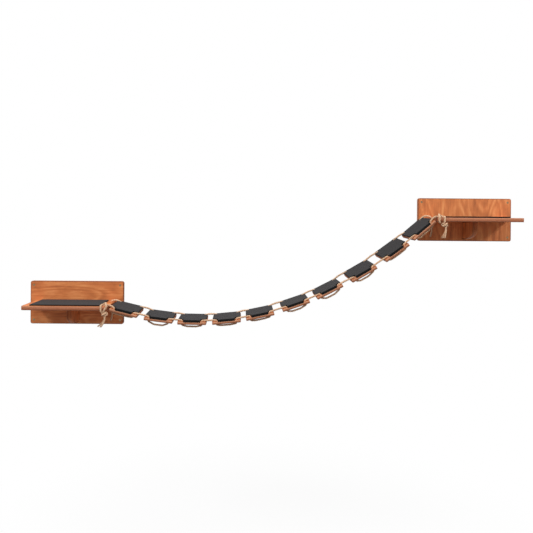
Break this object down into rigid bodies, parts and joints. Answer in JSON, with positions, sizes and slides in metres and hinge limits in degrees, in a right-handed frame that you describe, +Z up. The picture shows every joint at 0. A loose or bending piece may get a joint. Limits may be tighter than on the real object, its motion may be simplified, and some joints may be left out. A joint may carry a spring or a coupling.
{
  "type": "cat wall bridge",
  "caption": "Cat wall bridge: a low and a high plywood wall shelf with felt pads, joined by a sagging bridge of felt-topped planks on two knotted ropes.",
  "frame": {"origin": "centre of the low (left) unit's backboard, on the face that meets the wall", "axes": "+X along the wall from the low unit to the high one, +Y into the wall, +Z up"},
  "size_m": [2.0645, 0.2222, 0.552],
  "materials": {
    "shelf_wood": "stained birch plywood, satin",
    "plank_wood": "stained birch plywood, satin",
    "felt": "dark grey pressed felt",
    "rope": "twisted natural fibre",
    "screw_steel": "bronze-coloured plating"
  },
  "bodies": {
    "wall_units": {"left_backboard": "shelf_wood", "left_shelf": "shelf_wood", "left_bracket": "shelf_wood", "right_backboard": "shelf_wood", "right_shelf": "shelf_wood", "right_bracket": "shelf_wood", "left_shelf_pad": "felt", "right_shelf_pad": "felt", "left_wall_screw_1": "screw_steel", "left_wall_screw_2": "screw_steel", "left_wall_screw_3": "screw_steel", "left_wall_screw_4": "screw_steel", "left_shelf_screw_1": "screw_steel", "left_shelf_screw_2": "screw_steel", "left_shelf_screw_3": "screw_steel", "left_shelf_screw_4": "screw_steel", "left_bracket_screw_1": "screw_steel", "left_bracket_screw_2": "screw_steel", "left_top_screw": "screw_steel", "right_wall_screw_1": "screw_steel", "right_wall_screw_2": "screw_steel", "right_wall_screw_3": "screw_steel", "right_wall_screw_4": "screw_steel", "right_shelf_screw_1": "screw_steel", "right_shelf_screw_2": "screw_steel", "right_shelf_screw_3": "screw_steel", "right_shelf_screw_4": "screw_steel", "right_bracket_screw_1": "screw_steel", "right_bracket_screw_2": "screw_steel", "right_top_screw": "screw_steel", "front_rope": "rope", "back_rope": "rope", "front_left_tail": "rope", "front_right_tail": "rope", "back_left_tail": "rope", "back_right_tail": "rope"},
    "plank_01": {"plank_01": "plank_wood", "plank_pad_01": "felt"},
    "plank_02": {"plank_02": "plank_wood", "plank_pad_02": "felt"},
    "plank_03": {"plank_03": "plank_wood", "plank_pad_03": "felt"},
    "plank_04": {"plank_04": "plank_wood", "plank_pad_04": "felt"},
    "plank_05": {"plank_05": "plank_wood", "plank_pad_05": "felt"},
    "plank_06": {"plank_06": "plank_wood", "plank_pad_06": "felt"},
    "plank_07": {"plank_07": "plank_wood", "plank_pad_07": "felt"},
    "plank_08": {"plank_08": "plank_wood", "plank_pad_08": "felt"},
    "plank_09": {"plank_09": "plank_wood", "plank_pad_09": "felt"},
    "plank_10": {"plank_10": "plank_wood", "plank_pad_10": "felt"}
  },
  "joints": [
    {"name": "plank_01_roll", "type": "hinge", "parent": "wall_units", "child": "plank_01", "pos_m": [0.23326, -0.1015, -0.00675], "axis": [0.9725, 0, -0.2329], "range_deg": [-6, 6], "stiffness_Nm_per_rad": 0.4, "deforming": ["front_rope", "back_rope"]},
    {"name": "plank_02_roll", "type": "hinge", "parent": "wall_units", "child": "plank_02", "pos_m": [0.37322, -0.1015, -0.03605], "axis": [0.9929, 0, -0.1191], "range_deg": [-6, 6], "stiffness_Nm_per_rad": 0.4, "deforming": ["front_rope", "back_rope"]},
    {"name": "plank_03_roll", "type": "hinge", "parent": "wall_units", "child": "plank_03", "pos_m": [0.50781, -0.1015, -0.04709], "axis": [0.9999, 0, -0.0109], "range_deg": [-6, 6], "stiffness_Nm_per_rad": 0.4, "deforming": ["front_rope", "back_rope"]},
    {"name": "plank_04_roll", "type": "hinge", "parent": "wall_units", "child": "plank_04", "pos_m": [0.64694, -0.1015, -0.04085], "axis": [0.9951, 0, 0.0986], "range_deg": [-6, 6], "stiffness_Nm_per_rad": 0.4, "deforming": ["front_rope", "back_rope"]},
    {"name": "plank_05_roll", "type": "hinge", "parent": "wall_units", "child": "plank_05", "pos_m": [0.78186, -0.1015, -0.01766], "axis": [0.9777, 0, 0.2101], "range_deg": [-6, 6], "stiffness_Nm_per_rad": 0.4, "deforming": ["front_rope", "back_rope"]},
    {"name": "plank_06_roll", "type": "hinge", "parent": "wall_units", "child": "plank_06", "pos_m": [0.92565, -0.1015, 0.02566], "axis": [0.9447, 0, 0.3279], "range_deg": [-6, 6], "stiffness_Nm_per_rad": 0.4, "deforming": ["front_rope", "back_rope"]},
    {"name": "plank_07_roll", "type": "hinge", "parent": "wall_units", "child": "plank_07", "pos_m": [1.06016, -0.1015, 0.08356], "axis": [0.8888, 0, 0.4584], "range_deg": [-6, 6], "stiffness_Nm_per_rad": 0.4, "deforming": ["front_rope", "back_rope"]},
    {"name": "plank_08_roll", "type": "hinge", "parent": "wall_units", "child": "plank_08", "pos_m": [1.19589, -0.1015, 0.159], "axis": [0.8635, 0, 0.5044], "range_deg": [-6, 6], "stiffness_Nm_per_rad": 0.4, "deforming": ["front_rope", "back_rope"]},
    {"name": "plank_09_roll", "type": "hinge", "parent": "wall_units", "child": "plank_09", "pos_m": [1.32598, -0.1015, 0.24739], "axis": [0.8046, 0, 0.5938], "range_deg": [-6, 6], "stiffness_Nm_per_rad": 0.4, "deforming": ["front_rope", "back_rope"]},
    {"name": "plank_10_roll", "type": "hinge", "parent": "wall_units", "child": "plank_10", "pos_m": [1.43632, -0.1015, 0.33468], "axis": [0.7611, 0, 0.6486], "range_deg": [-6, 6], "stiffness_Nm_per_rad": 0.4, "deforming": ["front_rope", "back_rope"]}
  ]
}
